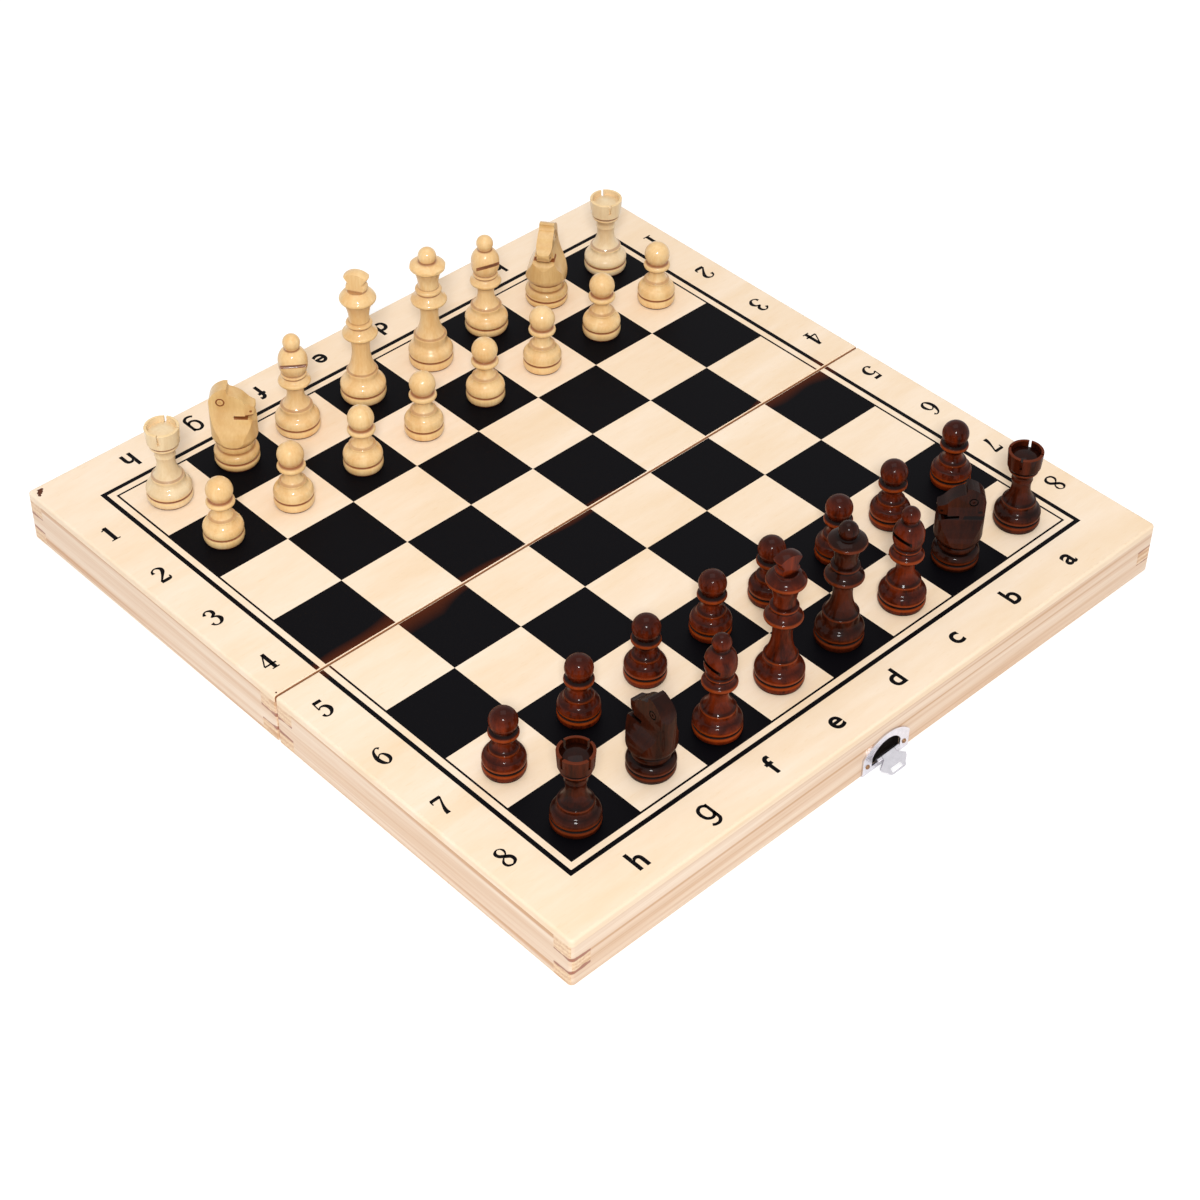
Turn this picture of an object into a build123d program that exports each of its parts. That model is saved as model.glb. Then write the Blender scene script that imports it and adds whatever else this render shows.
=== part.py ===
from build123d import *

import os
from math import atan2, cos, radians, sin

os.makedirs("parts", exist_ok=True)

# Frame of the part: X runs along the files from a to h, Y across the fold from rank 1 to
# rank 8, Z up. The origin is the middle of the fold line, in the plane of the tray rims.
# All sizes are millimetres and degrees.

# Board
square = 35.5
squares_per_side = 8
border_x = 27.0
border_y = 29.0
board_height = 25.0
fold_gap = 0.4
panel_thickness = 3.5
slat_thickness = 9.5
steel_thickness = 0.4
lining_thickness = 1.0
lining_clearance = 0.3
fingers = 3
corner_radius = 2.0
top_edge_radius = 1.2
bottom_edge_radius = 0.6
fold_corner_radius = 1.0
fold_edge_chamfer = 0.3

# Hinges
hinge_x = 105.0
hinge_axis_drop = 0.1
hinge_length = 26.0
leaf_width = 8.4
leaf_thickness = 0.8
barrel_radius = 1.6
hinge_pin_radius = 0.8
knuckles = 5
knuckle_gap = 0.15
barrel_clearance = 0.25
mortise_clearance = 0.1
pin_fit = 0.05
screw_spacing = 16.0
screw_offset = 4.9
screw_radius = 0.9
screw_head_radius = 1.8
screw_length = 7.0
screw_fit = 0.03

# Latch, drawn as seen from outside the latch side
latch_width = 27.0
latch_shoulder = 9.4
latch_rise = 16.0
latch_thickness = 0.8
latch_rim_gap = 0.3
latch_corner_radius = 1.2
window_width = 16.5
window_low = 3.1
window_shoulder = 7.6
window_rise = 12.8
pocket_depth = 3.0
hasp_axis_height = 5.0
hasp_axis_out = 1.4
hasp_pin_radius = 0.6
hasp_knuckle_radius = 1.2
hasp_knuckle_length = 7.4
plate_knuckle_length = 2.6
hasp_length = 8.0
hasp_wing_width = 15.0
hasp_wing_length = 3.6
hasp_tip_width = 9.6
hasp_thickness = 0.8
hasp_rest_angle = 50.0
hasp_slot_width = 6.4
hasp_slot_height = 2.0
hasp_slot_lip = 0.6
latch_nail_spread = 21.4
latch_nail_height = 4.4
nail_radius = 0.5
nail_head_radius = 1.15
nail_head_height = 0.5
nail_length = 7.0
nail_fit = 0.03
catch_width = 16.0
catch_height = 8.5
catch_peg_width = 4.8
catch_peg_reach = 3.7
catch_peg_low = 0.8
catch_peg_high = 1.8
catch_nail_spread = 10.4
catch_nail_height = 5.6

# Chess pieces: the parts that all of them share
felt_thickness = 0.6
felt_inset = 0.7
magnet_radius = 4.0
magnet_thickness = 2.0
magnet_fit = 0.05
groove_height = 0.8
groove_depth = 0.9
plinth_bulge = 0.4

# King
king_base_radius = 10.3
king_plinth_height = 3.7
king_bell_radius = 8.8
king_bell_z = 9.2
king_band_radius = 7.1
king_band_low = 11.9
king_band_z = 14.4
king_stem_radius = 4.6
king_stem_top = 31.2
king_collar_radius = 7.9
king_collar_z = 34.3
king_ring_radius = 5.9
king_ring_z = 39.6
king_ring_half_height = 0.7
king_neck_radius = 4.6
king_crown_radius = 8.15
king_crown_z = 52.7
king_bead_radius = 4.9
king_bead_z = 59.0
king_cap_radius = 5.6
king_cap_z = 63.8
king_top_z = 66.3
king_slab = 5.0
king_slab_z = 56.9

# Queen
queen_base_radius = 10.2
queen_plinth_height = 3.8
queen_bell_radius = 8.6
queen_bell_z = 9.6
queen_band_radius = 7.5
queen_band_low = 11.6
queen_band_z = 15.4
queen_stem_radius = 4.65
queen_stem_top = 30.8
queen_collar_radius = 8.15
queen_collar_z = 34.1
queen_ring_radius = 6.0
queen_ring_z = 39.4
queen_ring_half_height = 0.8
queen_neck_radius = 4.7
queen_coronet_radius = 8.15
queen_coronet_z = 51.7
queen_coronet_facets = 8
queen_facet_cut = 0.35
queen_ball_radius = 4.1
queen_ball_z = 56.9

# Bishop
bishop_base_radius = 10.0
bishop_plinth_height = 3.3
bishop_bell_radius = 8.6
bishop_bell_z = 8.6
bishop_band_radius = 7.2
bishop_band_low = 10.8
bishop_band_z = 13.0
bishop_stem_radius = 4.3
bishop_stem_top = 22.8
bishop_collar_radius = 7.2
bishop_collar_z = 26.1
bishop_ring_radius = 5.7
bishop_ring_z = 29.7
bishop_ring_half_height = 0.4
bishop_mitre_foot_radius = 4.9
bishop_mitre_radius = 6.45
bishop_mitre_z = 36.2
bishop_mitre_neck_radius = 3.3
bishop_mitre_top_z = 42.9
bishop_ball_radius = 3.85
bishop_ball_z = 46.0
bishop_slot_width = 0.8
bishop_slot_depth = 3.6
bishop_slot_z = 37.6
bishop_slot_tilt = 35.0

# Rook
rook_base_radius = 10.0
rook_plinth_height = 3.3
rook_bell_radius = 8.6
rook_bell_z = 8.6
rook_band_radius = 7.2
rook_band_low = 10.6
rook_band_z = 12.6
rook_stem_radius = 4.55
rook_stem_top = 23.4
rook_ring_radius = 6.3
rook_ring_z = 28.5
rook_drum_radius = 7.05
rook_drum_z = 30.1
rook_rim_radius = 7.5
rook_top_z = 38.2
rook_wall = 1.2
rook_bowl_depth = 2.6
rook_bowl_rise = 1.3
rook_notches = 4
rook_notch_width = 1.1
rook_notch_depth = 5.2

# Pawn
pawn_base_radius = 8.8
pawn_plinth_height = 3.7
pawn_bell_radius = 7.9
pawn_bell_z = 8.9
pawn_band_radius = 6.0
pawn_band_low = 11.2
pawn_band_z = 12.4
pawn_stem_radius = 3.9
pawn_stem_top = 17.2
pawn_collar_radius = 6.15
pawn_collar_z = 20.1
pawn_ball_radius = 5.8
pawn_ball_z = 25.9

# Knight: a turned blank, sawn to a horse's outline with both sides drawn in to a narrow head
knight_base_radius = 9.9
knight_plinth_height = 2.9
knight_bell_z = 8.2
knight_ring_radius = 8.0
knight_head_z = 11.9
knight_blank_radius = 9.8
knight_foot_half_width = 9.2
knight_cheek_half_width = 7.0
knight_cheek_z = 21.0
knight_head_half_width = 3.8
knight_head_low_z = 31.0
knight_ear_half_width = 3.4
knight_ear_z = 40.3
knight_eye_ring_radius = 1.9
knight_eye_ring_width = 0.45
knight_eye_depth = 0.45
knight_eye_pupil_radius = 0.55
knight_eye_x = -4.4
knight_eye_z = 33.6
knight_mouth_z = 26.7
knight_mouth_width = 0.9
knight_muzzle_x = 10.0
knight_muzzle_z = 29.4
knight_muzzle_start = 5.8
knight_muzzle_half_width = 2.6

# How the pieces stand: name, file, distance of the stand from the middle of its square
# towards h and towards rank 8, and the turn about its own axis
back_rank = {
    "light": [
        ("rook_a", 0, -3.6, -0.8, 62),
        ("knight_b", 1, -0.7, -0.2, 38),
        ("bishop_c", 2, -1.0, -2.8, 75),
        ("queen", 3, -1.0, -0.6, 0),
        ("king", 4, 2.2, -1.8, 30),
        ("bishop_f", 5, 2.8, -3.2, 54),
        ("knight_g", 6, 0.7, -3.2, 136),
        ("rook_h", 7, 1.7, -2.5, 40),
    ],
    "dark": [
        ("rook_a", 0, -3.0, 4.6, 25),
        ("knight_b", 1, -0.7, 2.9, -44),
        ("bishop_c", 2, -0.3, 5.4, -10),
        ("queen", 3, -0.8, 2.8, 15),
        ("king", 4, -1.4, 3.0, 80),
        ("bishop_f", 5, 0.9, 6.1, -20),
        ("knight_g", 6, -1.2, 3.6, -95),
        ("rook_h", 7, 3.4, 4.6, 0),
    ],
}
pawn_rank = {
    "light": [
        (-2.2, -0.2),
        (-1.7, 0.7),
        (0.0, 1.0),
        (-1.1, 1.1),
        (-0.6, 1.1),
        (-1.3, 1.4),
        (0.5, 0.5),
        (1.0, -1.1),
    ],
    "dark": [
        (-2.8, 3.4),
        (0.5, 3.1),
        (-1.3, 3.1),
        (2.1, 2.1),
        (-1.2, 0.4),
        (0.6, 1.1),
        (-0.2, -0.2),
        (4.6, 1.4),
    ],
}

# Sizes that follow from the ones above
half_gap = fold_gap / 2
half_squares = squares_per_side / 2
board_length = squares_per_side * square + 2 * border_x
half_span = half_squares * square + border_y
slat_height = board_height - panel_thickness
finger_height = slat_height / fingers
hinge_axis_z = -hinge_axis_drop
relief_radius = barrel_radius + barrel_clearance
knuckle_length = (hinge_length - (knuckles - 1) * knuckle_gap) / knuckles
knuckle_pitch = knuckle_length + knuckle_gap
hasp_axis_y = half_span + hasp_axis_out
standing = (Align.CENTER, Align.CENTER, Align.MIN)


def save(part, label):
    """Labels a finished piece and writes its file."""
    part.label = label
    export_step(part, f"parts/{label}.step")


def chain(start, *moves):
    """Draws joined lines and arcs: a move of one point is a line, a move of two an arc."""
    here = start
    for move in moves:
        if len(move) == 1:
            Line(here, move[0])
        else:
            ThreePointArc(here, move[0], move[1])
        here = move[-1]
    return here


def cylinder_along_x(x_low, x_high, y, z, radius, mode=Mode.ADD):
    """A cylinder whose axis runs along X."""
    with BuildSketch(Plane.YZ.offset(x_low)) as section:
        with Locations((y, z)):
            Circle(radius)
    extrude(section.sketch, amount=x_high - x_low, mode=mode)


def block(x_low, x_high, y_low, y_high, z_low, z_high, mode=Mode.ADD):
    """A box between two corners."""
    with Locations(((x_low + x_high) / 2, (y_low + y_high) / 2, z_low)):
        Box(x_high - x_low, abs(y_high - y_low), z_high - z_low, align=standing, mode=mode)


# Board halves

def half_envelope(side):
    """The outer form of one half, with its eased edges, that slats and panel are trimmed to."""
    with BuildPart() as envelope:
        Box(board_length, 2 * half_span, board_height, align=standing)
        fillet(envelope.edges().filter_by(Axis.Z), corner_radius)
        fillet(envelope.faces().sort_by(Axis.Z)[-1].edges(), top_edge_radius)
        fillet(envelope.faces().sort_by(Axis.Z)[0].edges(), bottom_edge_radius)
        block(-board_length, board_length, side * half_gap, -side * 2 * half_span, -1, board_height + 1,
              mode=Mode.SUBTRACT)
        fold_face = envelope.faces().sort_by(Axis.Y)[0 if side > 0 else -1]
        fillet(fold_face.edges().filter_by(Axis.Z), fold_corner_radius)
    return envelope.part


def hinge_centres():
    return (-hinge_x, hinge_x)


def screw_centres():
    shifts = (-screw_spacing / 2, screw_spacing / 2)
    return [(x + shift, screw_offset) for x in hinge_centres() for shift in shifts]


def cut_hinge_seats(side):
    """Cuts the leaf mortises, the barrel reliefs and the pilot holes out of a fold slat."""
    for x in hinge_centres():
        low = x - hinge_length / 2 - mortise_clearance
        high = x + hinge_length / 2 + mortise_clearance
        block(low, high, 0, side * (leaf_width + mortise_clearance), -1, leaf_thickness, mode=Mode.SUBTRACT)
        cylinder_along_x(low, high, 0, hinge_axis_z, relief_radius, mode=Mode.SUBTRACT)
    for x, y in screw_centres():
        with Locations((x, side * y, leaf_thickness)):
            Cylinder(screw_radius + screw_fit, screw_length, align=standing, mode=Mode.SUBTRACT)


def cut_nail_holes(side, spread, height):
    """Cuts the pilot holes of a plate's nails into an outer slat."""
    face = Plane(origin=(0, side * half_span, 0), x_dir=(-side, 0, 0), z_dir=(0, side, 0))
    with BuildSketch(face) as holes:
        with Locations((-spread / 2, height), (spread / 2, height)):
            Circle(nail_radius + nail_fit)
    extrude(holes.sketch, amount=-nail_length, mode=Mode.SUBTRACT)


def finger_notches(x, y, inner, levels):
    """Takes the other slat's fingers out of a slat's end."""
    for level in levels:
        block(x - inner[0], x + inner[0], y - inner[1], y + inner[1],
              level * finger_height, (level + 1) * finger_height, mode=Mode.SUBTRACT)


def latch_outline(width, shoulder, rise, low):
    """An arched outline with straight feet, centred on its own X."""
    chain(
        (-width / 2, low),
        [(width / 2, low)],
        [(width / 2, shoulder)],
        [(0, rise), (-width / 2, shoulder)],
        [(-width / 2, low)],
    )


def latch_window():
    latch_outline(window_width, window_shoulder, window_rise, window_low)


latch_face = Plane(origin=(0, half_span, 0), x_dir=(-1, 0, 0), z_dir=(0, 1, 0))
catch_face = Plane(origin=(0, -half_span, 0), x_dir=(1, 0, 0), z_dir=(0, -1, 0))
end_levels = range(0, fingers, 2)
middle_levels = range(1, fingers, 2)
end_x = board_length / 2 - slat_thickness / 2
reach = slat_thickness / 2

for half, side in (("dark_half", 1), ("light_half", -1)):
    envelope = half_envelope(side)
    outer_y = side * (half_span - slat_thickness / 2)
    fold_y = side * (half_gap + slat_thickness / 2)

    # Long slats keep the top and bottom fingers at their ends, side slats the middle ones
    with BuildPart() as outer_slat:
        block(-board_length / 2, board_length / 2, outer_y - reach, outer_y + reach, 0, slat_height)
        for x in (-end_x, end_x):
            finger_notches(x, outer_y, (reach, reach), middle_levels)
        add(envelope, mode=Mode.INTERSECT)
        if side > 0:
            cut_nail_holes(side, latch_nail_spread, latch_nail_height)
            with BuildSketch(latch_face):
                with BuildLine():
                    latch_window()
                make_face()
            extrude(amount=-pocket_depth, mode=Mode.SUBTRACT)
        else:
            cut_nail_holes(side, catch_nail_spread, catch_nail_height)
    save(outer_slat.part, half + "_outer_slat")

    with BuildPart() as fold_slat:
        block(-board_length / 2, board_length / 2, fold_y - reach, fold_y + reach, 0, slat_height)
        for x in (-end_x, end_x):
            finger_notches(x, fold_y, (reach, reach), middle_levels)
        add(envelope, mode=Mode.INTERSECT)
        cut_hinge_seats(side)
    save(fold_slat.part, half + "_fold_slat")

    for letter, x in (("a", -end_x), ("h", end_x)):
        with BuildPart() as side_slat:
            block(x - reach, x + reach, side * half_gap, side * half_span, 0, slat_height)
            for y in (outer_y, fold_y):
                finger_notches(x, y, (reach, reach), end_levels)
            add(envelope, mode=Mode.INTERSECT)
        save(side_slat.part, f"{half}_side_slat_{letter}")

    with BuildPart() as panel:
        block(-board_length / 2, board_length / 2, side * half_gap, side * half_span,
              slat_height, board_height)
        add(envelope, mode=Mode.INTERSECT)
        # The fold edge is eased with a plain bevel
        with BuildSketch(Plane.YZ):
            with BuildLine():
                Polyline(
                    (side * half_gap, board_height),
                    (side * (half_gap + fold_edge_chamfer), board_height),
                    (side * half_gap, board_height - fold_edge_chamfer),
                    close=True,
                )
            make_face()
        extrude(amount=board_length, both=True, mode=Mode.SUBTRACT)
    save(panel.part, half + "_panel")

    inner_x = board_length / 2 - slat_thickness - lining_clearance
    inner_low = side * (half_gap + slat_thickness + lining_clearance)
    inner_high = side * (half_span - slat_thickness - lining_clearance)
    steel_low = slat_height - steel_thickness
    with BuildPart() as steel_sheet:
        block(-inner_x, inner_x, inner_low, inner_high, steel_low, slat_height)
    save(steel_sheet.part, half + "_steel_sheet")

    with BuildPart() as felt_lining:
        block(-inner_x, inner_x, inner_low, inner_high, steel_low - lining_thickness, steel_low)
    save(felt_lining.part, half + "_felt_lining")


# Hinges

def knuckle_spans(own):
    """The stretches along the barrel that belong to one leaf: the even knuckles or the odd ones."""
    first = -hinge_length / 2
    return [
        (first + n * knuckle_pitch, first + n * knuckle_pitch + knuckle_length)
        for n in range(own, knuckles, 2)
    ]


for letter, centre in (("a", -hinge_x), ("h", hinge_x)):
    for half, side, own in (("dark", 1, 0), ("light", -1, 1)):
        with BuildPart() as leaf:
            block(centre - hinge_length / 2, centre + hinge_length / 2, side * half_gap, side * leaf_width,
                  0, leaf_thickness)
            for low, high in knuckle_spans(1 - own):
                cylinder_along_x(centre + low - knuckle_gap, centre + high + knuckle_gap, 0, hinge_axis_z,
                                 relief_radius, mode=Mode.SUBTRACT)
            for low, high in knuckle_spans(own):
                cylinder_along_x(centre + low, centre + high, 0, hinge_axis_z, barrel_radius)
            cylinder_along_x(centre - hinge_length, centre + hinge_length, 0, hinge_axis_z,
                             hinge_pin_radius + pin_fit, mode=Mode.SUBTRACT)
            for x, y in screw_centres():
                if abs(x - centre) < hinge_length / 2:
                    with Locations((x, side * y, 0)):
                        Cone(screw_head_radius + screw_fit, screw_radius + screw_fit, leaf_thickness,
                             align=standing, mode=Mode.SUBTRACT)
        save(leaf.part, f"hinge_leaf_{half}_{letter}")

    with BuildPart() as hinge_pin:
        cylinder_along_x(centre - hinge_length / 2, centre + hinge_length / 2, 0, hinge_axis_z,
                         hinge_pin_radius)
    save(hinge_pin.part, f"hinge_pin_{letter}")

for half, side in (("dark", 1), ("light", -1)):
    with BuildPart() as hinge_screws:
        for x, y in screw_centres():
            with Locations((x, side * y, 0)):
                Cone(screw_head_radius, screw_radius, leaf_thickness, align=standing)
            with Locations((x, side * y, leaf_thickness)):
                Cylinder(screw_radius, screw_length - screw_fit, align=standing)
    save(hinge_screws.part, f"hinge_screws_{half}")


# Latch

def nails(face, spread, height):
    """Two nails with domed heads on a plate of the latch thickness."""
    with BuildSketch(face.offset(nail_fit - nail_length)) as shanks:
        with Locations((-spread / 2, height), (spread / 2, height)):
            Circle(nail_radius)
    extrude(shanks.sketch, amount=nail_length - nail_fit + latch_thickness)
    with BuildSketch(face.offset(latch_thickness)) as heads:
        with Locations((-spread / 2, height), (spread / 2, height)):
            Circle(nail_head_radius)
    extrude(heads.sketch, amount=nail_head_height, taper=35)


with BuildPart() as latch_plate:
    with BuildSketch(latch_face):
        with BuildLine():
            latch_outline(latch_width, latch_shoulder, latch_rise, latch_rim_gap)
        make_face()
        with BuildLine():
            latch_window()
        make_face(mode=Mode.SUBTRACT)
        spread = latch_nail_spread / 2
        with Locations((-spread, latch_nail_height), (spread, latch_nail_height)):
            Circle(nail_radius + nail_fit, mode=Mode.SUBTRACT)
    extrude(amount=latch_thickness)
    for sign in (-1, 1):
        near = sign * (hasp_knuckle_length / 2 + knuckle_gap)
        far = sign * (hasp_knuckle_length / 2 + knuckle_gap + plate_knuckle_length)
        cylinder_along_x(min(near, far), max(near, far), hasp_axis_y, hasp_axis_height, hasp_knuckle_radius)
        block(min(near, far), max(near, far), half_span, hasp_axis_y, window_low - 1,
              hasp_axis_height - hasp_pin_radius - pin_fit)
    cylinder_along_x(-latch_width, latch_width, hasp_axis_y, hasp_axis_height, hasp_pin_radius + pin_fit,
                     mode=Mode.SUBTRACT)
save(latch_plate.part, "latch_plate")

pin_half = hasp_knuckle_length / 2 + knuckle_gap + plate_knuckle_length
with BuildPart() as latch_pin:
    cylinder_along_x(-pin_half, pin_half, hasp_axis_y, hasp_axis_height, hasp_pin_radius)
save(latch_pin.part, "latch_pin")

with BuildPart() as latch_nails:
    nails(latch_face, latch_nail_spread, latch_nail_height)
save(latch_nails.part, "latch_nails")

# The hasp is drawn hanging, then swung out to where it lies when the board stands open
with BuildPart() as hasp_hanging:
    with BuildSketch(latch_face.offset(hasp_axis_out + hasp_knuckle_radius - hasp_thickness)):
        top = hasp_axis_height
        wing_low = top - hasp_wing_length
        tip_low = top - hasp_length
        with BuildLine():
            chain(
                (-hasp_knuckle_length / 2, top),
                [(hasp_knuckle_length / 2, top)],
                [(hasp_knuckle_length / 2, top - hasp_knuckle_radius)],
                [(hasp_wing_width / 2, wing_low)],
                [(hasp_wing_width / 2 - 0.6, wing_low - 1.2)],
                [(hasp_tip_width / 2, tip_low + 1.4)],
                [(hasp_tip_width / 2 - 0.5, tip_low + 0.4), (hasp_tip_width / 2 - 1.4, tip_low)],
                [(-hasp_tip_width / 2 + 1.4, tip_low)],
                [(-hasp_tip_width / 2 + 0.5, tip_low + 0.4), (-hasp_tip_width / 2, tip_low + 1.4)],
                [(-hasp_wing_width / 2 + 0.6, wing_low - 1.2)],
                [(-hasp_wing_width / 2, wing_low)],
                [(-hasp_knuckle_length / 2, top - hasp_knuckle_radius)],
                [(-hasp_knuckle_length / 2, top)],
            )
        make_face()
        with Locations((0, tip_low + hasp_slot_lip + hasp_slot_height / 2)):
            Rectangle(hasp_slot_width, hasp_slot_height, mode=Mode.SUBTRACT)
    extrude(amount=hasp_thickness)
    cylinder_along_x(-hasp_knuckle_length / 2, hasp_knuckle_length / 2, hasp_axis_y, hasp_axis_height,
                     hasp_knuckle_radius)
    cylinder_along_x(-hasp_knuckle_length, hasp_knuckle_length, hasp_axis_y, hasp_axis_height,
                     hasp_pin_radius + pin_fit, mode=Mode.SUBTRACT)
hasp_axis = Axis((0, hasp_axis_y, hasp_axis_height), (1, 0, 0))
with BuildPart() as hasp:
    add(hasp_hanging.part.rotate(hasp_axis, hasp_rest_angle))
save(hasp.part, "hasp")

with BuildPart() as catch_plate:
    with BuildSketch(catch_face):
        with Locations((0, latch_rim_gap + catch_height / 2)):
            RectangleRounded(catch_width, catch_height, latch_corner_radius)
        spread = catch_nail_spread / 2
        with Locations((-spread, catch_nail_height), (spread, catch_nail_height)):
            Circle(nail_radius + nail_fit, mode=Mode.SUBTRACT)
    extrude(amount=latch_thickness)
    block(-catch_peg_width / 2, catch_peg_width / 2, -half_span, -half_span - catch_peg_reach,
          catch_peg_low, catch_peg_high)
save(catch_plate.part, "catch_plate")

with BuildPart() as catch_nails:
    nails(catch_face, catch_nail_spread, catch_nail_height)
save(catch_nails.part, "catch_nails")


# Chess pieces, each drawn on the origin with its felt on the plane of the board


def plinth_outline(radius, plinth_height):
    """From the axis out along the seat, up the plinth's side and in and out of its groove."""
    plinth_top = felt_thickness + plinth_height
    edge = radius - plinth_bulge
    return chain(
        (0, felt_thickness),
        [(edge, felt_thickness)],
        [(radius, felt_thickness + plinth_height * 0.5), (edge + 0.1, plinth_top)],
        [(radius - groove_depth, plinth_top + groove_height * 0.5)],
        [(edge + 0.1, plinth_top + groove_height)],
    )


def foot_outline(radius, plinth_height, bell_radius, bell_z, band_radius, band_low, band_z):
    """The plinth, then a bell that sweeps in to an upright band with a rounded lip."""
    start = plinth_outline(radius, plinth_height)
    return chain(
        start,
        [(radius - 0.1, start[1] + 0.42 * (bell_z - start[1])), (bell_radius, bell_z)],
        [
            (band_radius + 0.3 * (bell_radius - band_radius), bell_z + 0.42 * (band_low - bell_z)),
            (band_radius - 0.1, band_low),
        ],
        [(band_radius, band_z - 0.5)],
        [(band_radius - 0.15, band_z - 0.15), (band_radius - 0.6, band_z)],
    )


def stem_outline(start, radius, top_z):
    """A stem that sweeps in from its foot and runs nearly straight to its top."""
    r, z = start
    return chain(start, [(radius + (r - radius) * 0.25, z + (top_z - z) * 0.23), (radius, top_z)])


def collar_outline(start, radius, z, inner_radius, inner_z):
    """A collar: flared under, with a rounded edge, and hollowed above up to a groove."""
    edge = (radius - 0.45, z + 0.8)
    return chain(
        start,
        [(start[0] + 0.7, start[1] + 0.9)],
        [(radius - 0.3, z - 1.0)],
        [(radius, z), edge],
        [
            (inner_radius + 0.48 * (edge[0] - inner_radius), edge[1] + 0.32 * (inner_z - edge[1])),
            (inner_radius, inner_z),
        ],
    )


def bead_outline(start, radius, z, half_height, inner_radius):
    """A rounded ring around a neck."""
    return chain(
        start,
        [(radius - 0.3, z - half_height)],
        [(radius, z), (radius - 0.3, z + half_height)],
        [(inner_radius, z + half_height + 0.45)],
    )


def ball_outline(start, radius, centre_z):
    """From a neck's rim over a ball to the axis."""
    r, z = start
    angle = atan2(z - centre_z, r)
    middle = (angle + radians(90)) / 2
    return chain(
        start,
        [(radius * cos(middle), centre_z + radius * sin(middle)), (0, centre_z + radius)],
    )


def dome_outline(start, top_z):
    """From a rim over a shallow dome, centred on the axis, to the axis."""
    r, z = start
    centre_z = (top_z ** 2 - z ** 2 - r ** 2) / (2 * (top_z - z))
    return ball_outline(start, top_z - centre_z, centre_z)


def ball_rim(radius, centre_z, rim_radius):
    """The point low on a ball where its surface has the given radius about the axis."""
    return (rim_radius, centre_z - (radius ** 2 - rim_radius ** 2) ** 0.5)


def cut_magnet_pocket():
    with Locations((0, 0, felt_thickness)):
        Cylinder(magnet_radius + magnet_fit, magnet_thickness, align=standing, mode=Mode.SUBTRACT)


with BuildPart() as king_body:
    with BuildSketch(Plane.XZ):
        with BuildLine():
            point = foot_outline(king_base_radius, king_plinth_height, king_bell_radius, king_bell_z,
                                 king_band_radius, king_band_low, king_band_z)
            point = stem_outline(point, king_stem_radius, king_stem_top)
            ring_low = king_ring_z - king_ring_half_height
            point = collar_outline(point, king_collar_radius, king_collar_z, king_ring_radius - 0.9,
                                   ring_low - 0.3)
            point = bead_outline(point, king_ring_radius, king_ring_z, king_ring_half_height,
                                 king_neck_radius)
            crown_low = (king_crown_radius - 1.7, king_crown_z - 2.1)
            crown_top = (king_bead_radius - 0.2, king_slab_z - 0.5)
            bead_low = (king_bead_radius - 0.8, king_slab_z + 0.4)
            bead_top = (king_bead_radius - 0.9, king_bead_z + (king_bead_z - bead_low[1]) * 0.8)
            cap_low = (king_cap_radius - 0.2, king_cap_z - 0.5)
            point = chain(
                point,
                [(king_neck_radius + 0.2, point[1] + 0.45 * (crown_low[1] - point[1])), crown_low],
                [(king_crown_radius - 0.35, king_crown_z - 1.0)],
                [(king_crown_radius, king_crown_z), (king_crown_radius - 0.5, king_crown_z + 1.2)],
                [(king_crown_radius - 1.7, king_crown_z + 2.7), crown_top],
                [bead_low],
                [(king_bead_radius, king_bead_z), bead_top],
                [(bead_top[0] + 0.1, bead_top[1] + 0.7)],
                [cap_low],
                [(king_cap_radius, king_cap_z), (king_cap_radius - 0.3, king_cap_z + 0.5)],
            )
            point = dome_outline(point, king_top_z)
            chain(point, [(0, felt_thickness)])
        make_face()
    revolve(axis=Axis.Z)
    for sign in (-1, 1):
        near = sign * king_slab / 2
        far = sign * 2 * king_cap_radius
        block(min(near, far), max(near, far), -2 * king_cap_radius, 2 * king_cap_radius,
              king_slab_z, king_top_z + 1, mode=Mode.SUBTRACT)
    cut_magnet_pocket()

with BuildPart() as queen_body:
    with BuildSketch(Plane.XZ):
        with BuildLine():
            point = foot_outline(queen_base_radius, queen_plinth_height, queen_bell_radius, queen_bell_z,
                                 queen_band_radius, queen_band_low, queen_band_z)
            point = stem_outline(point, queen_stem_radius, queen_stem_top)
            ring_low = queen_ring_z - queen_ring_half_height
            point = collar_outline(point, queen_collar_radius, queen_collar_z, queen_ring_radius - 0.8,
                                   ring_low - 0.3)
            point = bead_outline(point, queen_ring_radius, queen_ring_z, queen_ring_half_height,
                                 queen_neck_radius)
            coronet_low = (queen_coronet_radius - 2.0, queen_coronet_z - 2.4)
            coronet_edge = (queen_coronet_radius - 0.3, queen_coronet_z + 0.7)
            rim = ball_rim(queen_ball_radius, queen_ball_z, queen_ball_radius - 0.35)
            chain(
                point,
                [(queen_neck_radius + 0.25, point[1] + 0.55 * (coronet_low[1] - point[1])), coronet_low],
                [(queen_coronet_radius - 0.3, queen_coronet_z - 0.7)],
                [(queen_coronet_radius, queen_coronet_z), coronet_edge],
                [(queen_coronet_radius - 1.8, coronet_edge[1] + 0.9), (rim[0] + 0.5, rim[1] - 1.2)],
                [(rim[0] - 0.1, rim[1] - 0.8)],
                [rim],
            )
            point = ball_outline(rim, queen_ball_radius, queen_ball_z)
            chain(point, [(0, felt_thickness)])
        make_face()
    revolve(axis=Axis.Z)
    # Shallow facets around the coronet's rim
    with PolarLocations(queen_coronet_radius - queen_facet_cut, queen_coronet_facets):
        with Locations((queen_coronet_radius / 2, 0, queen_coronet_z)):
            Box(queen_coronet_radius, queen_coronet_radius, queen_ball_radius, mode=Mode.SUBTRACT)
    cut_magnet_pocket()

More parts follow.
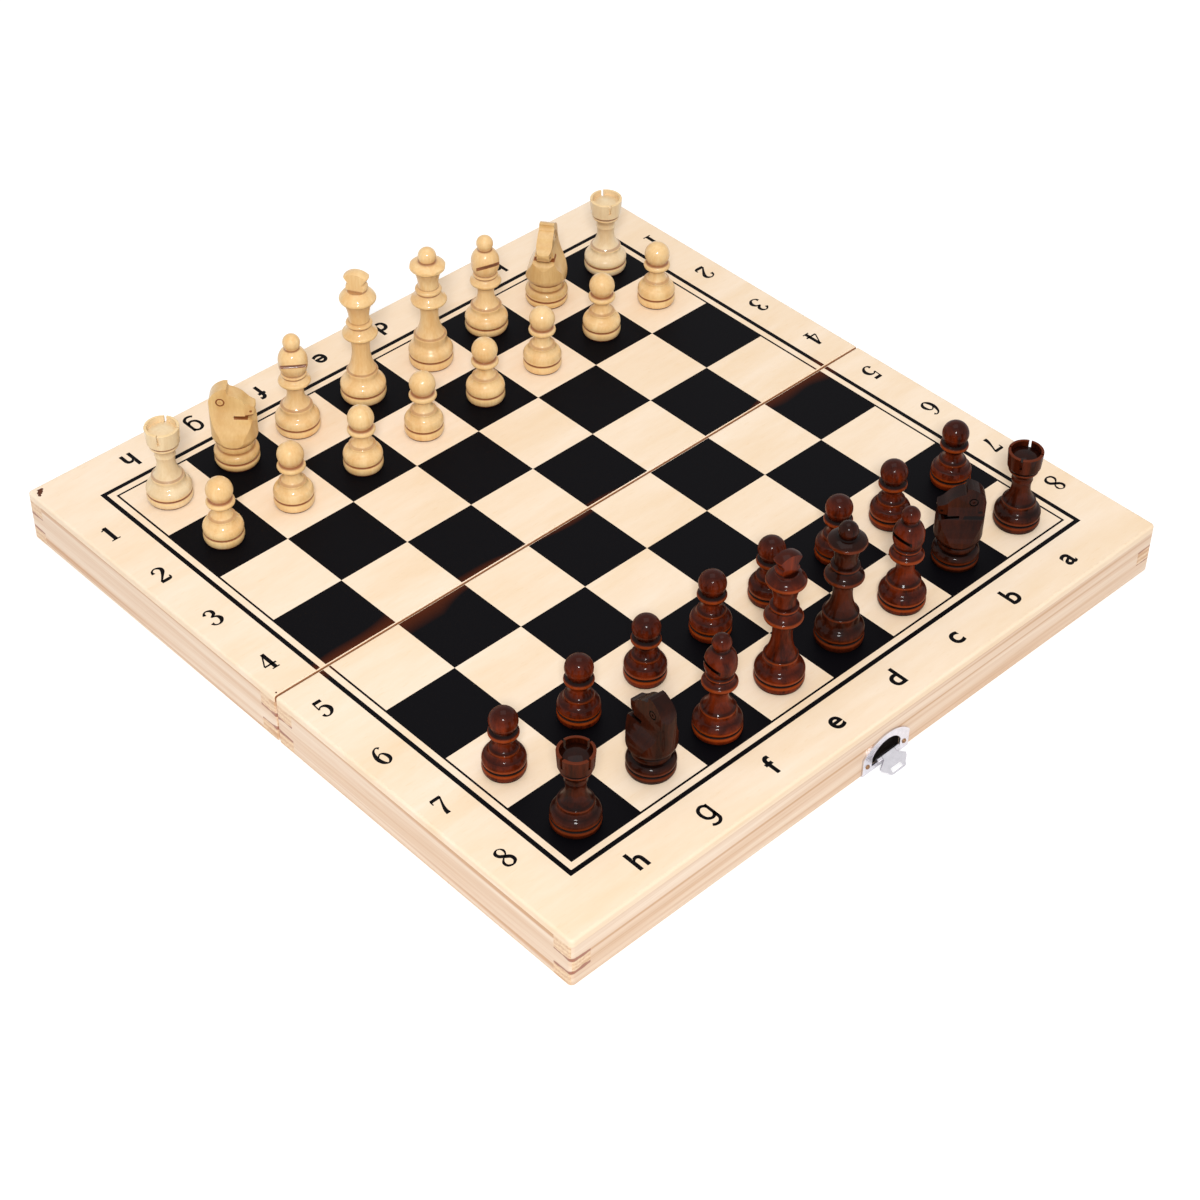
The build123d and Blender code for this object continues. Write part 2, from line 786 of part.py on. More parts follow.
with BuildPart() as bishop_body:
    with BuildSketch(Plane.XZ):
        with BuildLine():
            point = foot_outline(bishop_base_radius, bishop_plinth_height, bishop_bell_radius, bishop_bell_z,
                                 bishop_band_radius, bishop_band_low, bishop_band_z)
            point = stem_outline(point, bishop_stem_radius, bishop_stem_top)
            ring_low = bishop_ring_z - bishop_ring_half_height
            point = collar_outline(point, bishop_collar_radius, bishop_collar_z, bishop_ring_radius - 0.6,
                                   ring_low - 0.3)
            point = bead_outline(point, bishop_ring_radius, bishop_ring_z, bishop_ring_half_height,
                                 bishop_mitre_foot_radius)
            mitre_top = (bishop_mitre_neck_radius + 0.4, bishop_mitre_top_z - 0.3)
            rim = ball_rim(bishop_ball_radius, bishop_ball_z, bishop_mitre_neck_radius - 0.1)
            chain(
                point,
                [(bishop_mitre_radius - 0.35, bishop_mitre_z - 3.4), (bishop_mitre_radius, bishop_mitre_z)],
                [(bishop_mitre_radius - 0.6, bishop_mitre_z + 3.6), mitre_top],
                [(bishop_mitre_neck_radius, bishop_mitre_top_z)],
                [rim],
            )
            point = ball_outline(rim, bishop_ball_radius, bishop_ball_z)
            chain(point, [(0, felt_thickness)])
        make_face()
    revolve(axis=Axis.Z)
    # The slot opens towards +X and slants down into the mitre
    slot_plane = Plane(
        origin=(bishop_mitre_radius, 0, bishop_slot_z),
        x_dir=(0, 1, 0),
        z_dir=(-cos(radians(bishop_slot_tilt)), 0, -sin(radians(bishop_slot_tilt))),
    )
    with BuildSketch(slot_plane):
        Rectangle(4 * bishop_mitre_radius, bishop_slot_width)
    extrude(amount=bishop_slot_depth, both=True, mode=Mode.SUBTRACT)
    cut_magnet_pocket()

with BuildPart() as rook_body:
    with BuildSketch(Plane.XZ):
        with BuildLine():
            point = foot_outline(rook_base_radius, rook_plinth_height, rook_bell_radius, rook_bell_z,
                                 rook_band_radius, rook_band_low, rook_band_z)
            point = stem_outline(point, rook_stem_radius, rook_stem_top)
            inner = rook_rim_radius - rook_wall
            point = chain(
                point,
                [
                    (rook_stem_radius + 0.4, (point[1] + rook_ring_z) / 2 + 0.6),
                    (rook_ring_radius - 0.3, rook_ring_z - 0.6),
                ],
                [(rook_ring_radius, rook_ring_z), (rook_ring_radius - 0.1, rook_ring_z + 0.7)],
                [(rook_ring_radius - 0.7, rook_drum_z - 0.5)],
                [(rook_drum_radius - 0.3, rook_drum_z)],
                [(rook_drum_radius, rook_drum_z + 0.5)],
                [(rook_rim_radius, rook_top_z - 0.3)],
                [(rook_rim_radius - 0.1, rook_top_z - 0.1), (rook_rim_radius - 0.3, rook_top_z)],
                [(inner, rook_top_z)],
                [(inner - 0.1, rook_top_z - rook_bowl_depth)],
            )
            point = dome_outline(point, rook_top_z - rook_bowl_depth + rook_bowl_rise)
            chain(point, [(0, felt_thickness)])
        make_face()
    revolve(axis=Axis.Z)
    with PolarLocations(rook_rim_radius - rook_wall / 2, rook_notches):
        with Locations((0, 0, rook_top_z - rook_notch_depth)):
            Box(2 * rook_wall, rook_notch_width, 2 * rook_notch_depth, align=standing, mode=Mode.SUBTRACT)
    cut_magnet_pocket()

with BuildPart() as pawn_body:
    with BuildSketch(Plane.XZ):
        with BuildLine():
            point = foot_outline(pawn_base_radius, pawn_plinth_height, pawn_bell_radius, pawn_bell_z,
                                 pawn_band_radius, pawn_band_low, pawn_band_z)
            point = stem_outline(point, pawn_stem_radius, pawn_stem_top)
            rim = ball_rim(pawn_ball_radius, pawn_ball_z, pawn_ball_radius - 1.2)
            chain(
                point,
                [(point[0] + 0.6, point[1] + 0.7)],
                [(pawn_collar_radius - 0.2, pawn_collar_z - 0.9)],
                [(pawn_collar_radius, pawn_collar_z), (pawn_collar_radius - 0.4, pawn_collar_z + 0.9)],
                [(rim[0] + 0.1, rim[1] - 0.7)],
                [rim],
            )
            point = ball_outline(rim, pawn_ball_radius, pawn_ball_z)
            chain(point, [(0, felt_thickness)])
        make_face()
    revolve(axis=Axis.Z)
    cut_magnet_pocket()


def horse_outline():
    """The sawn outline of the head, facing +X, from the back of the neck round to the chest."""
    mouth_low = knight_mouth_z - knight_mouth_width
    chain(
        (-11, knight_head_z),
        [(-11, 27.0)],
        [(-9.6, 33.6)],
        [(-7.6, 37.4), (-3.9, knight_ear_z - 0.4)],
        [(-2.5, knight_ear_z), (-1.3, knight_ear_z - 0.2)],
        [(-1.4, 38.6), (-0.7, 37.4)],
        [(2.4, 36.2), (5.6, 33.5)],
        [(7.6, 31.7), (knight_muzzle_x - 0.5, 31.0)],
        [(knight_muzzle_x + 0.1, 30.4), (knight_muzzle_x, knight_muzzle_z)],
        [(knight_muzzle_x - 0.9, knight_mouth_z - 0.1)],
        [(5.0, knight_mouth_z)],
        [(1.3, knight_mouth_z + 0.3)],
        [(0.8, knight_mouth_z - 0.15), (1.3, mouth_low + 0.3)],
        [(5.0, mouth_low)],
        [(knight_muzzle_x - 1.8, mouth_low - 0.5)],
        [(knight_muzzle_x - 0.6, mouth_low - 1.6), (knight_muzzle_x - 0.1, mouth_low - 3.2)],
        [(11.0, mouth_low - 7.0)],
        [(11.0, knight_head_z)],
        [(-11, knight_head_z)],
    )


with BuildPart() as knight_head:
    with BuildSketch(Plane.XZ):
        with BuildLine():
            horse_outline()
        make_face()
    extrude(amount=2 * knight_blank_radius, both=True)
    with BuildSketch(Plane.XZ):
        with BuildLine():
            chain(
                (0, knight_head_z),
                [(knight_blank_radius - 2.0, knight_head_z)],
                [
                    (knight_blank_radius - 0.4, knight_head_z + 1.4),
                    (knight_blank_radius + 0.3, knight_head_z + 4.4),
                ],
                [(knight_blank_radius + 0.3, 45.0)],
                [(0, 45.0)],
                [(0, knight_head_z)],
            )
        make_face()
    revolve(axis=Axis.Z, mode=Mode.INTERSECT)
    # Seen from the front, the wide foot draws in to a narrow head
    with BuildSketch(Plane.YZ):
        with BuildLine():
            chain(
                (0, knight_head_z - 1),
                [(knight_foot_half_width, knight_head_z - 1)],
                [(knight_foot_half_width, knight_head_z)],
                [
                    (knight_foot_half_width - 0.3, (knight_head_z + knight_cheek_z) / 2),
                    (knight_cheek_half_width, knight_cheek_z),
                ],
                [
                    (knight_head_half_width + 1.1, (knight_cheek_z + knight_head_low_z) / 2 - 0.4),
                    (knight_head_half_width, knight_head_low_z),
                ],
                [(knight_ear_half_width, knight_ear_z + 1)],
                [(0, knight_ear_z + 1)],
            )
            mirror(about=Plane.YZ)
        make_face()
    extrude(amount=2 * knight_blank_radius, both=True, mode=Mode.INTERSECT)
    for sign in (-1, 1):
        eye_face = Plane(origin=(knight_eye_x, sign * knight_head_half_width, knight_eye_z), x_dir=(1, 0, 0),
                         z_dir=(0, sign, 0))
        with BuildSketch(eye_face):
            Circle(knight_eye_ring_radius)
            Circle(knight_eye_ring_radius - knight_eye_ring_width, mode=Mode.SUBTRACT)
            Circle(knight_eye_pupil_radius)
        extrude(amount=-knight_eye_depth, mode=Mode.SUBTRACT)
        # The muzzle narrows towards its front
        with BuildSketch(Plane.XY.offset(knight_mouth_z - knight_mouth_width / 2)):
            with BuildLine():
                Polyline(
                    (knight_muzzle_start, sign * knight_head_half_width),
                    (knight_muzzle_start, sign * 3 * knight_head_half_width),
                    (2 * knight_muzzle_x, sign * 3 * knight_head_half_width),
                    (knight_muzzle_x + 0.3, sign * knight_muzzle_half_width),
                    close=True,
                )
            make_face()
        extrude(amount=knight_blank_radius, mode=Mode.SUBTRACT)

with BuildPart() as knight_body:
    with BuildSketch(Plane.XZ):
        with BuildLine():
            point = plinth_outline(knight_base_radius, knight_plinth_height)
            chain(
                point,
                [(knight_base_radius, point[1] + 1.6), (knight_ring_radius, knight_bell_z)],
                [(knight_ring_radius - 0.6, knight_bell_z + 0.3)],
                [(knight_ring_radius - 0.1, knight_bell_z + 0.7)],
                [(knight_ring_radius, knight_head_z - 1.8), (knight_ring_radius - 0.3, knight_head_z - 0.6)],
                [(knight_ring_radius - 0.8, knight_head_z - 0.3)],
                [(knight_ring_radius - 0.6, knight_head_z)],
                [(0, knight_head_z)],
                [(0, felt_thickness)],
            )
        make_face()
    revolve(axis=Axis.Z)
    add(knight_head.part)
    cut_magnet_pocket()

with BuildPart() as magnet:
    with Locations((0, 0, felt_thickness)):
        Cylinder(magnet_radius, magnet_thickness, align=standing)


def stand_piece(label, body, radius, file, row, shift, turn):
    """Sets a body, its magnet and its felt on a square, as one group of three solids."""
    x = (file - half_squares + 0.5) * square + shift[0]
    y = (row - half_squares + 0.5) * square + shift[1]
    spot = Location((x, y, board_height), (0, 0, turn))
    with BuildPart() as felt:
        Cylinder(radius - felt_inset, felt_thickness, align=standing)
    group = Compound(children=[solid.moved(spot) for solid in (body, magnet.part, felt.part)])
    save(group, label)


bodies = {
    "king": (king_body.part, king_base_radius),
    "queen": (queen_body.part, queen_base_radius),
    "bishop": (bishop_body.part, bishop_base_radius),
    "knight": (knight_body.part, knight_base_radius),
    "rook": (rook_body.part, rook_base_radius),
    "pawn": (pawn_body.part, pawn_base_radius),
}
rows = {"light": (0, 1), "dark": (squares_per_side - 1, squares_per_side - 2)}

for colour, (back_row, pawn_row) in rows.items():
    for name, file, along, across, turn in back_rank[colour]:
        body, radius = bodies[name.split("_")[0]]
        stand_piece(f"{colour}_{name}", body, radius, file, back_row, (along, across), turn)
    body, radius = bodies["pawn"]
    for file, shift in enumerate(pawn_rank[colour]):
        stand_piece(f"{colour}_pawn_{'abcdefgh'[file]}", body, radius, file, pawn_row, shift, 0)
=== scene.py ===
import math

import bpy
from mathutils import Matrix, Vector


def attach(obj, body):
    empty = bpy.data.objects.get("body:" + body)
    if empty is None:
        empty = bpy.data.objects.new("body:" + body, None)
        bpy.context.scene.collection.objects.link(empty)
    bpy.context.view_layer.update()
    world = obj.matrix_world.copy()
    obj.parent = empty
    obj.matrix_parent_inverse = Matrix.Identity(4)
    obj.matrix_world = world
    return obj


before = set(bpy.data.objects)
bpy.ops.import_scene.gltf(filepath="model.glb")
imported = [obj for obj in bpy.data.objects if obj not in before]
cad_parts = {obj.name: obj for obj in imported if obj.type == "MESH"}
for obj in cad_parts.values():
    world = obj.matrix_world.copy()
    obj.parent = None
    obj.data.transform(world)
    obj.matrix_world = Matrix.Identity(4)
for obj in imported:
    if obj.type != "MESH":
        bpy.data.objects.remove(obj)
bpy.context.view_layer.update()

# Sizes in metres, as the CAD has them
MM = 0.001
SQUARE = 35.5 * MM
BOARD_TOP = 25 * MM
HALF_LENGTH = 169 * MM
HALF_SPAN = 171 * MM
SLAT = 9.5 * MM
PANEL = 3.5 * MM
SLAT_HEIGHT = BOARD_TOP - PANEL
FINGER = SLAT_HEIGHT / 3
HALF_GAP = 0.2 * MM
FELT_TOP = 0.61 * MM
MIDDLE_FILE = 3.5

# The printed lines, in squares from the middle of the board, and how deep the print reaches down the edge
GRID_REACH = 4.0
HAIRLINE = (3.993, 4.02)
FRAME_LINE = (4.098, 4.158)
PRINT_DEPTH = 0.05 * MM

# The glue wedges: widths at their two ends, and how softly their sides fade
WEDGE_WIDTHS = (0.3 * MM, 1.2 * MM)
WEDGE_FADE = (-0.12 * MM, 0.25 * MM)


def colour(text):
    """A written sRGB colour as the linear one that the shaders take."""
    parts = [int(text[n:n + 2], 16) / 255 for n in (0, 2, 4)]
    linear = [v / 12.92 if v <= 0.04045 else ((v + 0.055) / 1.055) ** 2.4 for v in parts]
    return (*linear, 1.0)


# Node helpers

def put(tree, kind, inputs=None, **settings):
    """Adds a shader node. An input takes another node's socket or a plain value."""
    made = tree.nodes.new("ShaderNode" + kind)
    for name, value in settings.items():
        setattr(made, name, value)
    for name, value in (inputs or {}).items():
        if isinstance(value, bpy.types.NodeSocket):
            tree.links.new(value, made.inputs[name])
        else:
            made.inputs[name].default_value = value
    return made


def calc(tree, operation, *values, clamp=False):
    return put(tree, "Math", dict(enumerate(values)), operation=operation, use_clamp=clamp).outputs[0]


def both(tree, *masks):
    """The product of some masks: 1 only where all of them are."""
    result = masks[0]
    for mask in masks[1:]:
        result = calc(tree, "MULTIPLY", result, mask)
    return result


def either(tree, *masks):
    """The largest of some masks."""
    result = masks[0]
    for mask in masks[1:]:
        result = calc(tree, "MAXIMUM", result, mask)
    return result


def between(tree, value, low, high):
    """1 where a value lies between two limits."""
    return both(tree, calc(tree, "GREATER_THAN", value, low), calc(tree, "LESS_THAN", value, high))


def blend_colours(tree, factor, under, over, kind="MIX"):
    made = put(tree, "Mix", data_type="RGBA", blend_type=kind)
    for index, value in ((0, factor), (6, under), (7, over)):
        if isinstance(value, bpy.types.NodeSocket):
            tree.links.new(value, made.inputs[index])
        else:
            made.inputs[index].default_value = value
    return made.outputs[2]


def split(tree, vector):
    return put(tree, "SeparateXYZ", {0: vector}).outputs


def noise(tree, place, scale, detail, **others):
    inputs = {"Vector": place, "Scale": scale, "Detail": detail, **others}
    return put(tree, "TexNoise", inputs).outputs["Fac"]


def remap(tree, value, low, high, start=0.0, end=1.0, **settings):
    """Turns the range from low to high into the one from start to end, and holds it beyond them."""
    inputs = {"Value": value, "From Min": low, "From Max": high, "To Min": start, "To Max": end}
    return put(tree, "MapRange", inputs, **settings).outputs[0]


def scaled(tree, vector, factors):
    return put(tree, "VectorMath", {0: vector, 1: factors}, operation="MULTIPLY").outputs["Vector"]


def shifted(tree, vector, amount):
    return put(tree, "VectorMath", {0: vector, 1: amount}, operation="ADD").outputs["Vector"]


def distance(tree, vector, point):
    return put(tree, "VectorMath", {0: vector, 1: point}, operation="DISTANCE").outputs["Value"]


def seen_or_mirrored(tree):
    """1 for what the camera sees itself, in a reflection or through something clear."""
    ray = put(tree, "LightPath").outputs
    return either(tree, ray["Is Camera Ray"], ray["Is Glossy Ray"], ray["Is Transmission Ray"])


SOCKETS = {"value": "NodeSocketFloat", "vector": "NodeSocketVector", "colour": "NodeSocketColor"}


def start_group(name, inputs, outputs):
    """An empty node group with named sockets, its input node and its output node."""
    tree = bpy.data.node_groups.new(name, "ShaderNodeTree")
    for label, kind in inputs:
        tree.interface.new_socket(name=label, in_out="INPUT", socket_type=SOCKETS[kind])
    for label, kind in outputs:
        tree.interface.new_socket(name=label, in_out="OUTPUT", socket_type=SOCKETS[kind])
    return tree, tree.nodes.new("NodeGroupInput").outputs, tree.nodes.new("NodeGroupOutput").inputs


def use(tree, group, **values):
    """Places a node group in a material, with its own values. An underscore stands for a space."""
    made = tree.nodes.new("ShaderNodeGroup")
    made.node_tree = group
    for name, value in values.items():
        socket = made.inputs[name.replace("_", " ")]
        if isinstance(value, bpy.types.NodeSocket):
            tree.links.new(value, socket)
        else:
            socket.default_value = value
    return made.outputs


# Shared effects

FIBRE_FINENESS = (7.0, 7.0, 7.0)
PORE_FINENESS = (19.0, 19.0, 19.0)
SCRATCH_LENGTHS = (900.0, 5000.0, 3600.0)


def make_grain():
    """Wood grain: slow bands, fine fibres and short pores, drawn out along one direction."""
    tree, given, out = start_group(
        "wood grain",
        [("Place", "vector"), ("Stretch", "vector"), ("Pale", "colour"), ("Deep", "colour"),
         ("Bands", "value"), ("Fibres", "value"), ("Pores", "value")],
        [("Colour", "colour"), ("Height", "value")],
    )
    drawn = scaled(tree, given["Place"], given["Stretch"])
    slow = remap(tree, noise(tree, drawn, 1.0, 3.0, Distortion=0.6), 0.32, 0.68)
    finer = scaled(tree, drawn, FIBRE_FINENESS)
    fibre = remap(tree, noise(tree, finer, 1.0, 4.0, Roughness=0.62), 0.3, 0.7)
    finest = scaled(tree, drawn, PORE_FINENESS)
    pore = remap(tree, noise(tree, finest, 1.0, 2.0), 0.63, 0.72)
    depth = calc(tree, "MULTIPLY", slow, given["Bands"])
    depth = calc(tree, "MULTIPLY_ADD", fibre, given["Fibres"], depth)
    depth = calc(tree, "MULTIPLY_ADD", pore, given["Pores"], depth, clamp=True)
    shade = blend_colours(tree, depth, given["Pale"], given["Deep"])
    tree.links.new(shade, out["Colour"])
    height = calc(tree, "MULTIPLY_ADD", pore, -0.6, calc(tree, "MULTIPLY", fibre, 0.4))
    tree.links.new(height, out["Height"])
    return tree


def make_end_grain():
    """Cut ends of the slats: growth rings and small dark vessels."""
    tree, given, out = start_group(
        "end grain",
        [("Place", "vector"), ("Pale", "colour"), ("Deep", "colour")],
        [("Colour", "colour")],
    )
    rings = put(tree, "TexWave", {"Vector": given["Place"], "Scale": 130.0, "Distortion": 3.0, "Detail": 2.0,
                                  "Detail Scale": 1.2}, wave_type="BANDS", bands_direction="Z").outputs["Fac"]
    specks = remap(tree, noise(tree, given["Place"], 1400.0, 2.0), 0.4, 0.7)
    depth = calc(tree, "MULTIPLY_ADD", rings, 0.45, calc(tree, "MULTIPLY", specks, 0.5), clamp=True)
    tree.links.new(blend_colours(tree, depth, given["Pale"], given["Deep"]), out["Colour"])
    return tree


def make_board_print():
    """The printed board: dark squares, a hairline round them and a broad frame line."""
    tree, given, out = start_group("board print", [("Place", "vector")], [("Ink", "value")])
    axes = split(tree, given["Place"])
    x = calc(tree, "DIVIDE", axes["X"], SQUARE)
    y = calc(tree, "DIVIDE", axes["Y"], SQUARE)
    files = calc(tree, "FLOOR", x)
    ranks = calc(tree, "FLOOR", y)
    parity = calc(tree, "FLOORED_MODULO", calc(tree, "ADD", files, ranks), 2.0)
    dark = calc(tree, "LESS_THAN", parity, 0.5)
    reach = calc(tree, "MAXIMUM", calc(tree, "ABSOLUTE", x), calc(tree, "ABSOLUTE", y))
    grid = both(tree, dark, calc(tree, "LESS_THAN", reach, GRID_REACH))
    ink = either(tree, grid, between(tree, reach, *HAIRLINE), between(tree, reach, *FRAME_LINE))
    top = calc(tree, "GREATER_THAN", axes["Z"], BOARD_TOP - PRINT_DEPTH)
    tree.links.new(both(tree, ink, top), out["Ink"])
    return tree


def make_glue_lines():
    """Brown wedges where the fingers of two slats meet, widest at the corner."""
    tree, given, out = start_group(
        "glue lines",
        [("Past joint", "value"), ("Height", "value"), ("Place", "vector")],
        [("Line", "value")],
    )
    wander = noise(tree, given["Place"], 150.0, 2.0)
    taper = remap(tree, given["Past joint"], 0.0, SLAT, *WEDGE_WIDTHS)
    width = calc(tree, "MULTIPLY", taper, calc(tree, "MULTIPLY_ADD", wander, 2.4, -0.5))
    low = calc(tree, "ABSOLUTE", calc(tree, "SUBTRACT", given["Height"], FINGER))
    high = calc(tree, "ABSOLUTE", calc(tree, "SUBTRACT", given["Height"], 2 * FINGER))
    off = calc(tree, "MINIMUM", low, high)
    line = remap(tree, calc(tree, "SUBTRACT", width, off), *WEDGE_FADE)
    tree.links.new(both(tree, line, calc(tree, "GREATER_THAN", given["Past joint"], 0.0)), out["Line"])
    return tree


def make_scratches():
    """Fine wear on plated metal: cloudy patches and hairline scratches."""
    tree, given, out = start_group(
        "plating wear",
        [("Place", "vector")],
        [("Cloud", "value"), ("Scratch", "value")],
    )
    cloud = noise(tree, given["Place"], 420.0, 4.0)
    drawn = scaled(tree, given["Place"], SCRATCH_LENGTHS)
    scratch = remap(tree, noise(tree, drawn, 1.0, 3.0), 0.62, 0.75)
    tree.links.new(cloud, out["Cloud"])
    tree.links.new(scratch, out["Scratch"])
    return tree


GRAIN = make_grain()
END_GRAIN = make_end_grain()
BOARD_PRINT = make_board_print()
GLUE_LINES = make_glue_lines()
PLATING = make_scratches()


def start_material(name):
    """A material with a bare Principled shader; its tree, shader, place on the object and local normal."""
    made = bpy.data.materials.new(name)
    made.use_nodes = True
    tree = made.node_tree
    shader = tree.nodes["Principled BSDF"]
    coordinates = tree.nodes.new("ShaderNodeTexCoord")
    return made, tree, shader, coordinates.outputs["Object"], coordinates.outputs["Normal"]


def bump(tree, shader, height, strength, distance):
    made = put(tree, "Bump", {"Strength": strength, "Distance": distance, "Height": height})
    tree.links.new(made.outputs[0], shader.inputs["Normal"])


BOARD_PALE = colour("fae6cf")
BOARD_DEEP = colour("efd0a8")
SLAT_PALE = colour("f3dec8")
SLAT_DEEP = colour("cf9f70")
END_PALE = colour("f0d3ae")
END_DEEP = colour("d0a077")
STREAK = colour("c58f5c")
GLUE = colour("94492f")
INK = colour("070609")
PAINTED_POCKET_SHADE = colour("140d09")
SANDED = colour("8f5020")
BROWNED_INK = colour("6b2f12")
BRUISE = colour("5a3220")
SLAT_LENGTHS = {"x": (3.2, 70.0, 190.0), "y": (70.0, 3.2, 190.0)}
STREAK_LENGTHS = {"x": (2.4, 50.0, 300.0), "y": (50.0, 2.4, 300.0)}
PANEL_LENGTHS = (9.0, 45.0, 120.0)
# Painted shade: the hollow behind the window of the latch plate is coloured as dark as its shadow
POCKET_HALF_WIDTH = 8.3 * MM
POCKET_DEPTHS = (HALF_SPAN - 3.2 * MM, HALF_SPAN - 0.1 * MM)
POCKET_HEIGHTS = (3.0 * MM, 13.0 * MM)
# The sanded edge of the panel along the fold, and how far the ink beside it has browned
SANDED_WIDTH = 0.3 * MM
BROWNED_WIDTHS = (0.4 * MM, 9.0 * MM)
# Small bruises on the light half: X, Y and size in mm
BRUISES = [(167.0, -1.6, 0.5), (163.7, -167.9, 1.0), (164.7, -167.3, 1.4), (165.7, -166.3, 1.2),
           (166.6, -165.0, 0.8)]


def slat_material(name, along, shift, has_pocket_shade=False):
    """Pale limewood with end grain on its cut ends, glue lines at its finger joints, and, where asked,
    painted shade in the hollow behind the latch window.
    """
    made, tree, shader, place, normal = start_material(name)
    moved = shifted(tree, place, shift)
    grain = use(tree, GRAIN, Place=moved, Stretch=SLAT_LENGTHS[along], Pale=SLAT_PALE, Deep=SLAT_DEEP,
                Bands=0.62, Fibres=0.22, Pores=0.15)
    ends = use(tree, END_GRAIN, Place=moved, Pale=END_PALE, Deep=END_DEEP)
    axes = split(tree, place)
    facing = calc(tree, "ABSOLUTE", split(tree, normal)["X" if along == "x" else "Y"])
    cut_end = calc(tree, "GREATER_THAN", facing, 0.75)
    if along == "x":
        past = calc(tree, "SUBTRACT", calc(tree, "ABSOLUTE", axes["X"]), HALF_LENGTH - SLAT)
    else:
        across = calc(tree, "ABSOLUTE", axes["Y"])
        past = calc(tree, "MAXIMUM", calc(tree, "SUBTRACT", across, HALF_SPAN - SLAT),
                    calc(tree, "SUBTRACT", HALF_GAP + SLAT, across))
    line = use(tree, GLUE_LINES, Past_joint=past, Height=axes["Z"], Place=place)["Line"]
    shade = blend_colours(tree, cut_end, grain["Colour"], ends["Colour"])
    stretched = scaled(tree, moved, STREAK_LENGTHS[along])
    streak = remap(tree, noise(tree, stretched, 1.0, 1.0), 0.56, 0.68, end=0.75)
    shade = blend_colours(tree, streak, shade, STREAK)
    shade = blend_colours(tree, calc(tree, "MULTIPLY", line, 0.85), shade, GLUE)
    if has_pocket_shade:
        # Painted shade: the slat inside the hollow behind the latch window is coloured dark as its shadow
        pocket_shade = both(tree, calc(tree, "LESS_THAN", calc(tree, "ABSOLUTE", axes["X"]), POCKET_HALF_WIDTH),
                      between(tree, axes["Y"], *POCKET_DEPTHS), between(tree, axes["Z"], *POCKET_HEIGHTS))
        shade = blend_colours(tree, pocket_shade, shade, PAINTED_POCKET_SHADE)
    tree.links.new(shade, shader.inputs["Base Color"])
    shader.inputs["Roughness"].default_value = 0.42
    shader.inputs["Coat Weight"].default_value = 0.15
    shader.inputs["Coat Roughness"].default_value = 0.3
    bump(tree, shader, grain["Height"], 0.25, 0.05 * MM)
    return made


def panel_material(name, shift, bruises):
    """The veneered panel with the printed board on its top."""
    made, tree, shader, place, normal = start_material(name)
    moved = shifted(tree, place, shift)
    grain = use(tree, GRAIN, Place=moved, Stretch=PANEL_LENGTHS, Pale=BOARD_PALE, Deep=BOARD_DEEP,
                Bands=0.5, Fibres=0.22, Pores=0.2)
    ink = use(tree, BOARD_PRINT, Place=place)["Ink"]
    # Along the fold the veneer is sanded through and the ink has browned
    axes = split(tree, place)
    off = calc(tree, "SUBTRACT", calc(tree, "ABSOLUTE", axes["Y"]), HALF_GAP)
    bevel = calc(tree, "LESS_THAN", off, SANDED_WIDTH)
    shade = blend_colours(tree, calc(tree, "MULTIPLY", bevel, 0.9), grain["Colour"], SANDED)
    patches = remap(tree, noise(tree, place, 17.0, 1.0), 0.42, 0.68, *BROWNED_WIDTHS)
    brown = calc(tree, "SUBTRACT", 1.0, calc(tree, "DIVIDE", off, patches), clamp=True)
    printed = blend_colours(tree, calc(tree, "MULTIPLY", brown, 0.55), INK, BROWNED_INK)
    shade = blend_colours(tree, ink, shade, printed)
    for x, y, size in bruises:
        away = distance(tree, place, (x * MM, y * MM, BOARD_TOP))
        ragged = noise(tree, place, 900.0, 2.0)
        edge = calc(tree, "MULTIPLY", calc(tree, "ADD", ragged, 0.4), size * MM)
        shade = blend_colours(tree, calc(tree, "LESS_THAN", away, edge), shade, BRUISE)
    tree.links.new(shade, shader.inputs["Base Color"])
    rough = calc(tree, "MULTIPLY_ADD", ink, 0.1, 0.42)
    tree.links.new(rough, shader.inputs["Roughness"])
    tree.links.new(calc(tree, "MULTIPLY_ADD", ink, -0.15, 0.15), shader.inputs["Coat Weight"])
    shader.inputs["Coat Roughness"].default_value = 0.25
    shader.inputs["Specular IOR Level"].default_value = 0.04
    bump(tree, shader, grain["Height"], 0.2, 0.05 * MM)
    return made


def shade_node(name, material):
    """Gives a carried-over node its material in every slot."""
    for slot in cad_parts[name].material_slots:
        slot.material = material


for half, move, bruises in (("dark_half", 0.0, []), ("light_half", 0.37, BRUISES)):
    shade_node(half + "_panel", panel_material(half + " printed panel", (move, 0.0, 0.0), bruises))
    for number, part in enumerate(("outer_slat", "fold_slat")):
        node = f"{half}_{part}"
        finish = slat_material(f"{half} {part}", "x", (move, 0.21 * number, 0.0),
                               has_pocket_shade=node == "dark_half_outer_slat")
        shade_node(node, finish)
    for number, letter in enumerate("ah"):
        finish = slat_material(f"{half} side slat {letter}", "y", (0.17 * number, move, 0.05))
        shade_node(f"{half}_side_slat_{letter}", finish)


# Chess pieces

# Carved lines, measured forward from the axis of the piece and up from the board
SLIT_AT = 6.45 * MM
SLIT_HEIGHT = 37.6 * MM
SLIT_SLOPE = math.tan(math.radians(35))
SLIT_HALF_WIDTH = 0.9 * MM
SLIT_REACH = (2.85 * MM, 10.5 * MM)
EYE = (-4.4 * MM, 0.0, 33.6 * MM)
EYE_RING = (1.35 * MM, 2.0 * MM)
NOSTRIL = (8.2 * MM, 0.0, 28.7 * MM)
NOSTRIL_SIZE = 0.6 * MM
MOUTH_HEIGHTS = (25.5 * MM, 27.0 * MM)
MOUTH_REACH = (1.0 * MM, 12.0 * MM)


